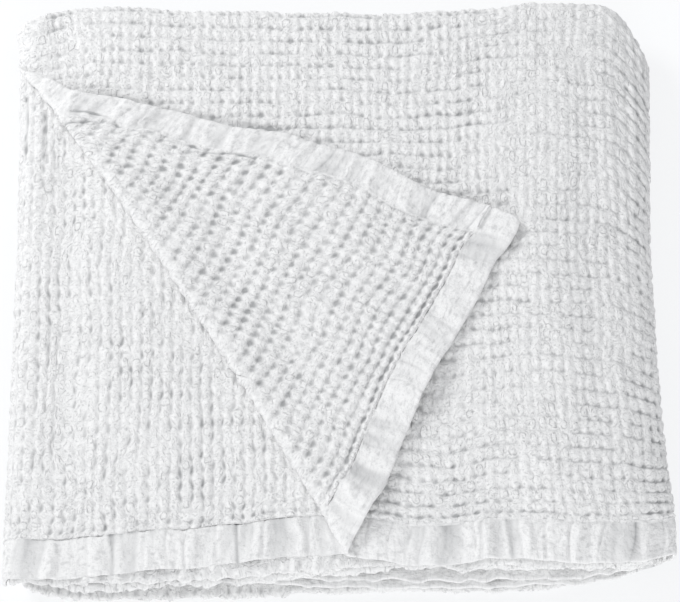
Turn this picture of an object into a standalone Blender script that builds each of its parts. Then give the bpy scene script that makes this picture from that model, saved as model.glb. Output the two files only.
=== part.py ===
"""Waffle weave cotton blanket, folded to a near-square stack, with one corner of the top ply turned back.

One piece of cloth. It is folded in four along its length, so that both front hems lie at the front, and then
in three across its width. Metres, +Z up. The front faces -Y, and the left side faces -X. The origin is the
middle of the flat underside.
"""

import math

import bmesh
import bpy
import numpy as np

# Cloth
CLOTH_THICK = 0.0027
PLY_PITCH = 0.0042
FRONT_HEM = 0.025
SIDE_HEM = 0.018

# A bundle is four plies: bottom, third, second and top. The bundle is folded across its width into an
# upper, a middle and a lower run.
TOP_LEVEL = 3 * PLY_PITCH
MIDDLE_LEVEL = 4 * PLY_PITCH
UPPER_LEVEL = 8 * PLY_PITCH
OUTER_BACK_RADIUS = 1.5 * PLY_PITCH
TIGHT_RADIUS = 0.5 * PLY_PITCH
WIDE_RADIUS = 3.5 * PLY_PITCH

# Widths across the stack
LEFT_BEND_X = -0.2063
RIGHT_FOLD_X = 0.2074
LEFT_FOLD_X = -0.2003
LOWER_END_X = 0.1880
LEFT_BEND_RADIUS = 1.4 * PLY_PITCH
OVERHANG = 0.0246
OVERHANG_RADIUS = LEFT_BEND_RADIUS + 2 * PLY_PITCH
SHEAR_REACH = 0.36
SHEAR_POWER = 1.5

# Distances along the bundle, from the bend at the left of the upper run
UPPER_END = RIGHT_FOLD_X - LEFT_BEND_X
RIGHT_FOLD_END = UPPER_END + math.pi * WIDE_RADIUS
MIDDLE_END = RIGHT_FOLD_END + RIGHT_FOLD_X - LEFT_FOLD_X
LEFT_FOLD_END = MIDDLE_END + math.pi * WIDE_RADIUS
LOWER_END = LEFT_FOLD_END + LOWER_END_X - LEFT_FOLD_X

# Where each edge and fold of the bundle ends, along y, at places across each run.
# run, x, top hem, second hem, front fold, outer back fold, inner back fold
ENDS = (
    ("upper", -0.2570, -0.2065, -0.2120, -0.2135, 0.1900, 0.1810),
    ("upper", -0.2240, -0.2050, -0.2120, -0.2135, 0.2010, 0.1920),
    ("upper", -0.1884, -0.2035, -0.2118, -0.2150, 0.2100, 0.2010),
    ("upper", -0.0984, -0.2015, -0.2045, -0.2115, 0.2090, 0.2000),
    ("upper", -0.0284, -0.2020, -0.1975, -0.2060, 0.2072, 0.1980),
    ("upper", 0.0216, -0.2035, -0.1960, -0.2020, 0.2068, 0.1975),
    ("upper", 0.0616, -0.2045, -0.2000, -0.2040, 0.2080, 0.1990),
    ("upper", 0.1116, -0.2000, -0.1980, -0.2020, 0.2120, 0.2030),
    ("upper", 0.1616, -0.2028, -0.1990, -0.2040, 0.2150, 0.2060),
    ("upper", 0.1966, -0.2000, -0.1980, -0.2000, 0.2090, 0.2000),
    ("right fold", 0.2074, -0.1920, -0.1940, -0.1960, 0.1760, 0.1670),
    ("middle", 0.1866, -0.2035, -0.2020, -0.2000, 0.2000, 0.1910),
    ("middle", 0.0516, -0.2120, -0.2080, -0.2020, 0.2020, 0.1930),
    ("middle", -0.0784, -0.2080, -0.2060, -0.2120, 0.2000, 0.1910),
    ("middle", -0.1834, -0.2020, -0.2040, -0.2150, 0.1970, 0.1880),
    ("left fold", -0.2003, -0.1960, -0.1980, -0.2060, 0.1750, 0.1660),
    ("lower", -0.1834, -0.2040, -0.2060, -0.2145, 0.1900, 0.1810),
    ("lower", -0.0884, -0.2060, -0.2060, -0.2145, 0.1960, 0.1870),
    ("lower", 0.0516, -0.2040, -0.2030, -0.2095, 0.1960, 0.1870),
    ("lower", 0.1416, -0.2020, -0.2020, -0.2085, 0.1940, 0.1850),
    ("lower", 0.1880, -0.1920, -0.1920, -0.1960, 0.1860, 0.1770),
)

# How far the left side hem of the top ply stands in from the other side hems, by y
# y, inset
TOP_INSET = (
    (-0.2065, -0.0260),
    (-0.1220, -0.0212),
    (-0.0296, -0.0125),
    (0.0630, -0.0010),
    (0.1555, 0.0076),
    (0.2150, 0.0070),
)

# Line over which the corner is turned back, on the top ply before the corner is lifted
TURN_BACK = (-0.2140, 0.1590)
TURN_FRONT = (0.0120, -0.2010)
TURN_BOW = 0.0035
ROLL_RADIUS = 0.0033
ROLL_TIP = 0.55
ROLL_GROWTH = 0.05
FLAP_REST = 1.1 * PLY_PITCH
FLAP_SETTLE = 0.020

# Raised places along the free edges of the turned corner: x, y, reach, height
FLAP_LIFTS = (
    (0.070, -0.086, 0.032, 0.0070),
    (0.020, -0.180, 0.028, 0.0080),
    (-0.190, 0.135, 0.030, 0.0030),
    (0.115, 0.030, 0.022, 0.0025),
)

# Shift of the two sides along x, by y: y, left side, right side
SIDES = (
    (-0.215, 0.0005, 0.0000),
    (-0.170, 0.0010, 0.0010),
    (-0.114, 0.0012, -0.0030),
    (-0.041, 0.0008, -0.0055),
    (0.040, 0.0000, -0.0062),
    (0.104, -0.0015, -0.0035),
    (0.172, -0.0038, -0.0008),
    (0.210, -0.0040, 0.0000),
)

# Swells and hollows of the stack: x, y, reach along x, reach along y, height at the top
SWELLS = (
    (0.142, -0.010, 0.024, 0.140, 0.0035),
    (0.180, -0.040, 0.014, 0.130, -0.0020),
    (0.102, -0.158, 0.040, 0.012, -0.0030),
    (0.020, 0.090, 0.090, 0.050, 0.0025),
    (-0.130, -0.070, 0.035, 0.090, 0.0025),
    (-0.185, -0.020, 0.014, 0.110, -0.0015),
    (-0.060, -0.160, 0.060, 0.030, -0.0020),
    (0.070, -0.070, 0.030, 0.060, -0.0015),
    (-0.060, 0.170, 0.060, 0.030, -0.0015),
)
TOP_HEIGHT = 11 * PLY_PITCH

# Height below which the underside is pressed flat
REST_DEPTH = 0.0002

# The tables above measure from a point a little off the middle of the stack
TO_MIDDLE_X = 0.0021
TO_MIDDLE_Y = 0.0011

# Fall of the top towards each side of the stack: start, end, height lost at the end
FRONT_FALL = (-0.150, -0.215, 0.0065)
BACK_FALL = (0.130, 0.215, 0.0050)
RIGHT_FALL = (0.130, 0.225, 0.0080)
LEFT_FALL = (-0.150, -0.225, 0.0030)

# Mesh steps
PANEL_STEPS = (
    ("top hem", 1),
    ("top", 10),
    ("outer back fold", 5),
    ("bottom", 6),
    ("front fold", 4),
    ("third", 6),
    ("inner back fold", 4),
    ("second", 9),
    ("second hem", 1),
)
UPPER_STEPS = 11
MIDDLE_STEPS = 6
LOWER_STEPS = 6
WIDE_FOLD_STEPS = 8
SIDE_HEM_STEPS = 2
CUT_SHARES = (-3.0, -1.1, -0.25, 0.0, 0.25, 0.5, 0.75, 1.0, 2.2, 4.5)

# Material
COTTON_COLOUR = (0.86, 0.865, 0.87, 1.0)
COTTON_ROUGHNESS = 0.92


def smooth_step(value, start, end):
    share = np.clip((value - start) / (end - start), 0.0, 1.0)
    return share * share * (3.0 - 2.0 * share)


def curve(value, places, heights):
    """Smooth curve through the points of a table, level beyond its ends."""
    places = np.asarray(places, dtype=float)
    heights = np.asarray(heights, dtype=float)
    slopes = np.gradient(heights, places)
    slopes[0] = 0.0
    slopes[-1] = 0.0
    value = np.clip(value, places[0], places[-1])
    index = np.clip(np.searchsorted(places, value) - 1, 0, len(places) - 2)
    step = places[index + 1] - places[index]
    t = (value - places[index]) / step
    low = heights[index] * (1 + 2 * t) * (1 - t) ** 2 + slopes[index] * step * t * (1 - t) ** 2
    high = heights[index + 1] * t * t * (3 - 2 * t) + slopes[index + 1] * step * t * t * (t - 1)
    return low + high


def along_bundle(run, x):
    """Distance along the bundle of a place x in one of its runs."""
    if run == "upper":
        return x - LEFT_BEND_X
    if run == "right fold":
        return (UPPER_END + RIGHT_FOLD_END) / 2
    if run == "middle":
        return RIGHT_FOLD_END + RIGHT_FOLD_X - x
    if run == "left fold":
        return (MIDDLE_END + LEFT_FOLD_END) / 2
    return LEFT_FOLD_END + x - LEFT_FOLD_X


END_PLACES = [along_bundle(row[0], row[1]) for row in ENDS]
TOP_HEM, SECOND_HEM, FRONT_FOLD, OUTER_BACK, INNER_BACK = range(2, 7)


def end_of(column, s):
    return curve(s, END_PLACES, [row[column] for row in ENDS])


def side_shift(panel, share, y, u):
    """Extra shift along the bundle, which the top ply has and the others have not."""
    inset = curve(y, [row[0] for row in TOP_INSET], [row[1] for row in TOP_INSET])
    if panel in ("top hem", "top"):
        weight = 1.0
    elif panel == "outer back fold":
        weight = 1.0 - 0.5 * share
    elif panel == "bottom":
        weight = max(0.0, 0.5 - share)
    else:
        weight = 0.0
    return inset * weight * np.clip(1.0 - u / SHEAR_REACH, 0.0, 1.0) ** SHEAR_POWER


def between(start, end, share):
    return start + (end - start) * share


def section(panel, share, s):
    """Place (y, level) of one row of the cloth in the four-ply bundle."""
    angle = math.pi * share
    back = end_of(OUTER_BACK, s) - OUTER_BACK_RADIUS
    inner = end_of(INNER_BACK, s) - TIGHT_RADIUS
    front = end_of(FRONT_FOLD, s) + TIGHT_RADIUS
    if panel == "top hem":
        return end_of(TOP_HEM, s) + FRONT_HEM * share, TOP_LEVEL
    if panel == "top":
        return between(end_of(TOP_HEM, s) + FRONT_HEM, back, share), TOP_LEVEL
    if panel == "outer back fold":
        return back + OUTER_BACK_RADIUS * math.sin(angle), OUTER_BACK_RADIUS * (1 + math.cos(angle))
    if panel == "bottom":
        return between(back, front, share), 0.0
    if panel == "front fold":
        return front - TIGHT_RADIUS * math.sin(angle), TIGHT_RADIUS * (1 - math.cos(angle))
    if panel == "third":
        return between(front, inner, share), PLY_PITCH
    if panel == "inner back fold":
        return inner + TIGHT_RADIUS * math.sin(angle), PLY_PITCH + TIGHT_RADIUS * (1 - math.cos(angle))
    if panel == "second":
        return between(inner, end_of(SECOND_HEM, s) + FRONT_HEM, share), 2 * PLY_PITCH
    return end_of(SECOND_HEM, s) + FRONT_HEM * (1 - share), 2 * PLY_PITCH


def turn_frame():
    """Start of the turning line, its direction, and the direction away from the kept cloth."""
    start = np.array([TURN_BACK[0] - LEFT_BEND_X, TURN_BACK[1]])
    along = np.array([TURN_FRONT[0] - TURN_BACK[0], TURN_FRONT[1] - TURN_BACK[1]])
    along = along / np.linalg.norm(along)
    return start, along, np.array([along[1], -along[0]])


def turn_bow(place):
    """Distance by which the turning line stands off its own straight line, towards the kept cloth."""
    length = math.hypot(TURN_FRONT[0] - TURN_BACK[0], TURN_FRONT[1] - TURN_BACK[1])
    return TURN_BOW * np.sin(math.pi * np.clip(place / length, 0.0, 1.0))


def roll_radius(place):
    """The roll is tight where it starts, at the left side, and softer along the rest of the line."""
    return ROLL_RADIUS * (ROLL_TIP + (1.0 - ROLL_TIP) * smooth_step(place, 0.0, ROLL_GROWTH))


def flap_lift(s, y):
    lift = np.zeros_like(s)
    for x0, y0, reach, height in FLAP_LIFTS:
        far = (s + LEFT_BEND_X - x0) ** 2 + (y - y0) ** 2
        lift += height * np.exp(-far / reach ** 2)
    return lift


def turn_corner(s, y, level):
    """The part of the top ply beyond the turning line rolls over and lies back on the ply."""
    start, along, away = turn_frame()
    place = (s - start[0]) * along[0] + (y - start[1]) * along[1]
    beyond = (s - start[0]) * away[0] + (y - start[1]) * away[1] + turn_bow(place)
    turned = (level > 2.5 * PLY_PITCH) & (beyond > 0)
    radius = roll_radius(place)
    roll = math.pi * radius
    angle = np.clip(beyond / radius, 0.0, math.pi)
    laid = np.clip(beyond - roll, 0.0, None)
    out = radius * np.sin(angle) * (beyond <= roll) - laid - turn_bow(place)
    new_s = start[0] + along[0] * place + away[0] * out
    new_y = start[1] + along[1] * place + away[1] * out
    settled = FLAP_REST + (2 * radius - FLAP_REST) * np.exp(-laid / FLAP_SETTLE)
    rise = np.where(beyond <= roll, radius * (1 - np.cos(angle)), settled)
    rise = rise + flap_lift(new_s, new_y) * smooth_step(laid, 0.0, FLAP_SETTLE)
    return (
        np.where(turned, new_s, s),
        np.where(turned, new_y, y),
        np.where(turned, level + rise, level),
    )


def fold_across(s, level):
    """Place (x, z) in the stack of a point of the bundle."""
    bend = np.clip(-s, 0.0, None) / OVERHANG_RADIUS
    radius = LEFT_BEND_RADIUS + level
    x = np.where(s < 0, LEFT_BEND_X - radius * np.sin(bend), LEFT_BEND_X + s)
    z = UPPER_LEVEL - LEFT_BEND_RADIUS + radius * np.cos(bend)
    turn = (s - UPPER_END) / WIDE_RADIUS
    radius = TIGHT_RADIUS + level
    in_fold = (s > UPPER_END) & (s <= RIGHT_FOLD_END)
    x = np.where(in_fold, RIGHT_FOLD_X + radius * np.sin(turn), x)
    z = np.where(in_fold, UPPER_LEVEL - TIGHT_RADIUS + radius * np.cos(turn), z)
    middle = (s > RIGHT_FOLD_END) & (s <= MIDDLE_END)
    x = np.where(middle, RIGHT_FOLD_X - (s - RIGHT_FOLD_END), x)
    z = np.where(middle, MIDDLE_LEVEL + TOP_LEVEL - level, z)
    turn = (s - MIDDLE_END) / WIDE_RADIUS
    radius = WIDE_RADIUS - level
    in_fold = (s > MIDDLE_END) & (s <= LEFT_FOLD_END)
    x = np.where(in_fold, LEFT_FOLD_X - radius * np.sin(turn), x)
    z = np.where(in_fold, WIDE_RADIUS + radius * np.cos(turn), z)
    lower = s > LEFT_FOLD_END
    x = np.where(lower, LEFT_FOLD_X + s - LEFT_FOLD_END, x)
    z = np.where(lower, level, z)
    return x, z


def settle(x, y, z):
    """The stack's own unevenness. It grows with height, so the underside stays flat."""
    places = [row[0] for row in SIDES]
    left = curve(y, places, [row[1] for row in SIDES])
    right = curve(y, places, [row[2] for row in SIDES])
    change = np.zeros_like(x)
    for x0, y0, reach_x, reach_y, height in SWELLS:
        change += height * np.exp(-((x - x0) / reach_x) ** 2 - ((y - y0) / reach_y) ** 2)
    for value, (start, end, drop) in ((y, FRONT_FALL), (y, BACK_FALL), (x, RIGHT_FALL), (x, LEFT_FALL)):
        change -= drop * smooth_step(value, start, end)
    x = x + left * smooth_step(x, 0.0, -0.20) + right * smooth_step(x, 0.0, 0.20)
    z = z * (1.0 + change / TOP_HEIGHT) + CLOTH_THICK / 2
    return x + TO_MIDDLE_X, y + TO_MIDDLE_Y, z


def across_steps():
    """Distances across the cloth, from its left edge, at which the mesh has a column."""
    spans = (
        (0.0, SIDE_HEM, SIDE_HEM_STEPS),
        (SIDE_HEM, OVERHANG, 1),
        (OVERHANG, OVERHANG + UPPER_END, UPPER_STEPS),
        (OVERHANG + UPPER_END, OVERHANG + RIGHT_FOLD_END, WIDE_FOLD_STEPS),
        (OVERHANG + RIGHT_FOLD_END, OVERHANG + MIDDLE_END, MIDDLE_STEPS),
        (OVERHANG + MIDDLE_END, OVERHANG + LEFT_FOLD_END, WIDE_FOLD_STEPS),
        (OVERHANG + LEFT_FOLD_END, OVERHANG + LOWER_END - SIDE_HEM, LOWER_STEPS),
        (OVERHANG + LOWER_END - SIDE_HEM, OVERHANG + LOWER_END, 1),
    )
    columns = [0.0]
    for start, end, steps in spans:
        columns += [start + (end - start) * (i + 1) / steps for i in range(steps)]
    return np.array(columns)


def bundle_rows():
    """Rows of the cloth, each an array of places (s, y, level) in the bundle."""
    u = across_steps()
    rows = []
    for panel, steps in PANEL_STEPS:
        first = 0 if not rows else 1
        for i in range(first, steps + 1):
            share = i / steps
            s = u - OVERHANG
            y, level = section(panel, share, s)
            s = s + side_shift(panel, share, y, u)
            y, level = section(panel, share, s)
            rows.append(np.stack([s, y, np.full_like(s, level)], axis=1))
    return rows


def cut_along_turn(mesh):
    """Extra rows of vertices in the top ply, parallel to the line over which the corner turns."""
    start, along, away = turn_frame()
    for share in CUT_SHARES:
        point = start + away * share * math.pi * ROLL_RADIUS
        faces = [f for f in mesh.faces if min(v.co.z for v in f.verts) > 2.99 * PLY_PITCH]
        faces = [f for f in faces if max(v.co.x for v in f.verts) < UPPER_END]
        edges = list({e for f in faces for e in f.edges})
        verts = list({v for f in faces for v in f.verts})
        bmesh.ops.bisect_plane(
            mesh,
            geom=faces + edges + verts,
            dist=0.0004,
            plane_co=(point[0], point[1], 0.0),
            plane_no=(away[0], away[1], 0.0),
        )


def lay_in_bundle(mesh):
    """Move the vertices of a plain grid, row by row, to their places in the bundle."""
    places = np.concatenate(bundle_rows())
    for v, place in zip(mesh.verts, places):
        v.co = place


def fold_bundle(mesh):
    """Turn the corner back, fold the bundle in thirds and let the stack settle."""
    flat = np.array([v.co for v in mesh.verts])
    s, y, level = turn_corner(flat[:, 0], flat[:, 1], flat[:, 2])
    x, z = fold_across(s, level)
    x, y, z = settle(x, y, z)
    for v, place in zip(mesh.verts, np.stack([x, y, z], axis=1)):
        v.co = place


def rest_on_ground(cloth):
    """The underside lies quite flat where the stack rests on it."""
    for v in cloth.data.vertices:
        if v.co.z < REST_DEPTH:
            v.co.z = 0.0


def make_cloth(collection, material):
    mesh = bmesh.new()
    row_count = 1 + sum(steps for _, steps in PANEL_STEPS)
    column_count = len(across_steps())
    bmesh.ops.create_grid(mesh, x_segments=column_count - 1, y_segments=row_count - 1, size=1.0)
    lay_in_bundle(mesh)
    cut_along_turn(mesh)
    fold_bundle(mesh)
    data = bpy.data.meshes.new("blanket")
    mesh.to_mesh(data)
    mesh.free()
    data.shade_smooth()
    cloth = bpy.data.objects.new("blanket", data)
    collection.objects.link(cloth)
    data.materials.append(material)
    shell = cloth.modifiers.new("cloth thickness", "SOLIDIFY")
    shell.thickness = CLOTH_THICK
    shell.offset = 0.0
    shell.use_even_offset = False
    bpy.context.view_layer.objects.active = cloth
    bpy.ops.object.modifier_apply(modifier=shell.name)
    rest_on_ground(cloth)
    return cloth


def cotton_material():
    material = bpy.data.materials.new("waffle_cotton")
    material.use_nodes = True
    shader = material.node_tree.nodes["Principled BSDF"]
    shader.inputs["Base Color"].default_value = COTTON_COLOUR
    shader.inputs["Roughness"].default_value = COTTON_ROUGHNESS
    shader.inputs["Metallic"].default_value = 0.0
    return material


def main():
    for item in list(bpy.data.objects):
        bpy.data.objects.remove(item, do_unlink=True)
    collection = bpy.data.collections.new("waffle blanket")
    bpy.context.scene.collection.children.link(collection)
    make_cloth(collection, cotton_material())


main()
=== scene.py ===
"""Looks of a folded waffle weave blanket: its weave in relief, its hems, its cotton, and a plain studio.

u runs across the cloth from its left side hem, and v along it from the top ply's front hem. Cells of the
weave are counted as a across and b along. The cloth is laid in four plies, the corner of the top ply is
turned back, and the bundle is folded in three across. Metres, +Z up, the front faces -Y.
"""

from collections import namedtuple
from math import cos, hypot, pi, radians, sin

import bpy
import numpy as np
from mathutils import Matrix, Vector


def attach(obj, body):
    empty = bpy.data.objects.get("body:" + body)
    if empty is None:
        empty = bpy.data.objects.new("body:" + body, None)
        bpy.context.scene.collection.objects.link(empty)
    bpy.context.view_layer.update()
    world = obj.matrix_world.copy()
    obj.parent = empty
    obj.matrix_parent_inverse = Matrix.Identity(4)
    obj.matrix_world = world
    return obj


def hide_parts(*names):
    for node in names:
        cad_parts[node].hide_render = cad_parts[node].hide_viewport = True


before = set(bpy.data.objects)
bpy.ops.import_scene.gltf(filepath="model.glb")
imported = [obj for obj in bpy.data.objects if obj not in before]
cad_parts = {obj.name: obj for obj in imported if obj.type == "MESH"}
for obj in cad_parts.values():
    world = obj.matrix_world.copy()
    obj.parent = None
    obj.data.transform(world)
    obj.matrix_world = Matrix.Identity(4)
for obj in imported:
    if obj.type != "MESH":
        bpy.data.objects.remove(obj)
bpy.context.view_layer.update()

# ---- the fold, as the solid has it

CLOTH_THICK = 0.0027
PITCH = 0.0042
FRONT_HEM = 0.025
SIDE_HEM = 0.02

TOP_LEVEL = 3 * PITCH
MIDDLE_LEVEL = 4 * PITCH
UPPER_LEVEL = 8 * PITCH
OUTER_BACK_RADIUS = 1.5 * PITCH
TIGHT_RADIUS = 0.5 * PITCH
WIDE_RADIUS = 3.5 * PITCH

LEFT_BEND_X = -0.2063
RIGHT_FOLD_X = 0.2074
LEFT_FOLD_X = -0.2003
LOWER_END_X = 0.188
LEFT_BEND_RADIUS = 1.4 * PITCH
OVERHANG = 0.0246
OVERHANG_RADIUS = LEFT_BEND_RADIUS + 2 * PITCH
SHEAR_REACH = 0.36
SHEAR_POWER = 1.5

UPPER_END = RIGHT_FOLD_X - LEFT_BEND_X
RIGHT_FOLD_END = UPPER_END + pi * WIDE_RADIUS
MIDDLE_END = RIGHT_FOLD_END + RIGHT_FOLD_X - LEFT_FOLD_X
LEFT_FOLD_END = MIDDLE_END + pi * WIDE_RADIUS
LOWER_END = LEFT_FOLD_END + LOWER_END_X - LEFT_FOLD_X

# run, x, top hem, second hem, front fold, outer back fold, inner back fold
ENDS = (
    ("upper", -0.257, -0.2065, -0.212, -0.2135, 0.19, 0.181),
    ("upper", -0.224, -0.205, -0.212, -0.2135, 0.201, 0.192),
    ("upper", -0.1884, -0.2035, -0.2118, -0.215, 0.21, 0.201),
    ("upper", -0.0984, -0.2015, -0.2045, -0.2115, 0.209, 0.2),
    ("upper", -0.0284, -0.202, -0.1975, -0.206, 0.2072, 0.198),
    ("upper", 0.0216, -0.2035, -0.196, -0.202, 0.2068, 0.1975),
    ("upper", 0.0616, -0.2045, -0.2, -0.204, 0.208, 0.199),
    ("upper", 0.1116, -0.2, -0.198, -0.202, 0.212, 0.203),
    ("upper", 0.1616, -0.2028, -0.199, -0.204, 0.215, 0.206),
    ("upper", 0.1966, -0.2, -0.198, -0.2, 0.209, 0.2),
    ("right fold", 0.2074, -0.192, -0.194, -0.196, 0.176, 0.167),
    ("middle", 0.1866, -0.2035, -0.202, -0.2, 0.2, 0.191),
    ("middle", 0.0516, -0.212, -0.208, -0.202, 0.202, 0.193),
    ("middle", -0.0784, -0.208, -0.206, -0.212, 0.2, 0.191),
    ("middle", -0.1834, -0.202, -0.204, -0.215, 0.197, 0.188),
    ("left fold", -0.2003, -0.196, -0.198, -0.206, 0.175, 0.166),
    ("lower", -0.1834, -0.204, -0.206, -0.2145, 0.19, 0.181),
    ("lower", -0.0884, -0.206, -0.206, -0.2145, 0.196, 0.187),
    ("lower", 0.0516, -0.204, -0.203, -0.2095, 0.196, 0.187),
    ("lower", 0.1416, -0.202, -0.202, -0.2085, 0.194, 0.185),
    ("lower", 0.188, -0.192, -0.192, -0.196, 0.186, 0.177),
)

# y, how far the left side hem of the top ply stands in from the others
TOP_INSET = (
    (-0.2065, -0.026), (-0.122, -0.0212), (-0.0296, -0.0125),
    (0.063, -0.001), (0.1555, 0.0076), (0.215, 0.007),
)

# the line that the corner of the top ply turns over, its roll, and how the turned flap lies
TURN_BACK = (-0.214, 0.159)
TURN_FRONT = (0.012, -0.201)
TURN_BOW = 0.0035
ROLL_RADIUS = 0.0033
ROLL_TIP = 0.43
ROLL_GROWTH = 0.05
FLAP_REST = 1.1 * PITCH
FLAP_SETTLE = 0.02
TURN_SPAN = (TURN_FRONT[0] - TURN_BACK[0], TURN_FRONT[1] - TURN_BACK[1])
TURN_LENGTH = hypot(*TURN_SPAN)
TURN_START = (TURN_BACK[0] - LEFT_BEND_X, TURN_BACK[1])
TURN_ALONG = (TURN_SPAN[0] / TURN_LENGTH, TURN_SPAN[1] / TURN_LENGTH)
TURN_AWAY = (TURN_ALONG[1], -TURN_ALONG[0])

# where the flap stands off the ply under it: x, y, reach, height
FLAP_LIFTS = (
    (0.07, -0.086, 0.032, 0.007), (0.02, -0.18, 0.028, 0.008),
    (-0.19, 0.135, 0.03, 0.003), (0.115, 0.03, 0.022, 0.0025),
)

# how far the stack's sides stand in or out: y, left side, right side
SIDES = (
    (-0.215, 0.0005, 0.0), (-0.17, 0.001, 0.001), (-0.114, 0.0012, -0.003), (-0.041, 0.0008, -0.0055),
    (0.04, 0.0, -0.0062), (0.104, -0.0015, -0.0035), (0.172, -0.0038, -0.0008), (0.21, -0.004, 0.0),
)

# distance from the front hem, and how far the top ply's left edge is drawn in there
EDGE_BOWS = (
    (0.01, 0.0), (0.031, 0.0), (0.056, 0.0031), (0.084, 0.0028), (0.104, 0.0),
    (0.137, -0.0028), (0.166, -0.0007), (0.183, -0.0021), (0.207, 0.0024), (0.235, 0.0042),
    (0.261, 0.0035), (0.281, 0.007), (0.293, 0.006), (0.31, 0.0085), (0.325, 0.0112),
    (0.34, 0.009), (0.355, 0.0072), (0.37, 0.0044), (0.385, 0.003), (0.398, 0.0006),
    (0.403, 0.0), (0.425, 0.0),
)

# distance from the left edge, and how far the top ply's front hem is drawn in there
FRONT_BOWS = (
    (0.014, 0.0), (0.028, 0.004), (0.045, 0.0024), (0.061, 0.0034), (0.093, 0.0048),
    (0.11, 0.0054), (0.142, 0.0042), (0.158, 0.0034), (0.175, 0.0018), (0.19, 0.0006),
    (0.207, 0.0018), (0.223, 0.003), (0.256, 0.004), (0.28, 0.001), (0.3, 0.0),
)

# swells of the stack, the broad ones first: x, y, reach along x, reach along y, height at the top
SWELLS = (
    (0.142, -0.01, 0.024, 0.14, 0.0035), (0.18, -0.04, 0.014, 0.13, -0.002),
    (0.102, -0.158, 0.04, 0.012, -0.003), (0.02, 0.09, 0.09, 0.05, 0.0025),
    (-0.13, -0.07, 0.035, 0.09, 0.0025), (-0.185, -0.02, 0.014, 0.11, -0.0015),
    (-0.06, -0.16, 0.06, 0.03, -0.002), (0.07, -0.07, 0.03, 0.06, -0.0015),
    (-0.06, 0.17, 0.06, 0.03, -0.0015), (-0.2, 0.168, 0.024, 0.026, -0.0045),
    (-0.106, 0.066, 0.018, 0.03, -0.0022), (-0.074, 0.02, 0.018, 0.034, -0.0026),
    (-0.036, -0.048, 0.018, 0.034, -0.0022), (0.16, -0.02, 0.014, 0.17, 0.0018),
    (0.178, -0.04, 0.013, 0.14, 0.002),
)
TOP_HEIGHT = 11 * PITCH
TO_MIDDLE_X = 0.0021
TO_MIDDLE_Y = 0.0011

# where the top falls away towards each side: axis, start, end, height lost at the end
FALLS = (
    ("y", -0.15, -0.215, 0.0065), ("y", 0.13, 0.215, 0.005), ("x", 0.13, 0.225, 0.008),
    ("x", -0.15, -0.225, 0.003), ("x", 0.188, 0.224, 0.0085),
)
# the right side's corners, moved towards the back: distance, and the spans of x, y and z it grows over
BACK_BULGE = (0.003, (0.14, 0.2), (0.1, 0.19))
FRONT_DRAW = (0.0032, (0.194, 0.214), (-0.14, -0.2), (0.012, 0.04))
# height of the lower plies' waver along the front
FLUTTER = 0.0016
PUCKER = 0.0011

# ---- the weave and the hems

CLOTH_WIDTH = OVERHANG + LOWER_END
CELLS_ACROSS = 182
CELLS_ALONG = 156
CELL_ACROSS = (CLOTH_WIDTH - 2 * SIDE_HEM) / CELLS_ACROSS
# the cells beside a front hem are shorter by this share, which fades over this many cells
CLOSER = 0.7
CLOSER_REACH = 1.6
# height of the finest crinkles of the weave, and the deepest that a trough may be
CRINKLE = 0.00056
TROUGH_LIMIT = 0.0017
HEM_HALF = 0.0014
CLOTH_HALF = 0.0013
CORNER_ROUND = 0.009
CORNER_BLUNT = 0.6
# spans of cells across: hollows grow narrower, grow weaker, and grow strong again at the right side
NARROWING = (38.0, 52.0)
WEAKENING = (38.0, 50.0)
RIGHT_SIDE = (56.0, 62.0)
# distance between the puckers of a front hem and of a side hem
FRONT_PUCKERS = 0.0105
SIDE_PUCKERS = 0.0085
STITCH_HALF = 0.0009
SECOND_STITCH = 0.0036
# span along the side hem of the top ply over which it comes to look woven, near the back
HEM_TO_WEAVE = (0.352, 0.366)
# how far in from an edge its bows fade: from nothing, to in full
SIDE_BOW_FADE = (0.08, 0.015)
FRONT_BOW_FADE = (0.08, 0.026)


def ramp(value, start, end):
    """Smooth ramp from 0 at the start to 1 at the end."""
    share = np.clip((value - start) / (end - start), 0.0, 1.0)
    return share * share * (3.0 - 2.0 * share)


def bell(value):
    return np.exp(-(value ** 2))


def between(start, end, share):
    return start + (end - start) * share


def curve(value, places, heights):
    """Smooth curve through the points of a table, level beyond its ends."""
    places = np.asarray(places, dtype=float)
    heights = np.asarray(heights, dtype=float)
    slopes = np.gradient(heights, places)
    slopes[0] = 0.0
    slopes[-1] = 0.0
    value = np.clip(value, places[0], places[-1])
    index = np.clip(np.searchsorted(places, value) - 1, 0, len(places) - 2)
    step = places[index + 1] - places[index]
    t = (value - places[index]) / step
    low = heights[index] * (1 + 2 * t) * (1 - t) ** 2 + slopes[index] * step * t * (1 - t) ** 2
    high = heights[index + 1] * t * t * (3 - 2 * t) + slopes[index + 1] * step * t * t * (t - 1)
    return low + high


def along_table(value, table, column=1):
    """Smooth curve of one column of a table over its first one."""
    return curve(value, [row[0] for row in table], [row[column] for row in table])


def along_bundle(run, x):
    """Distance along the bundle of a place x in one of its runs."""
    return {
        "upper": x - LEFT_BEND_X,
        "right fold": (UPPER_END + RIGHT_FOLD_END) / 2,
        "middle": RIGHT_FOLD_END + RIGHT_FOLD_X - x,
        "left fold": (MIDDLE_END + LEFT_FOLD_END) / 2,
        "lower": LEFT_FOLD_END + x - LEFT_FOLD_X,
    }[run]


END_PLACES = [along_bundle(row[0], row[1]) for row in ENDS]
INNER_BACK = 6
NOISE_TABLES = {}


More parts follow.
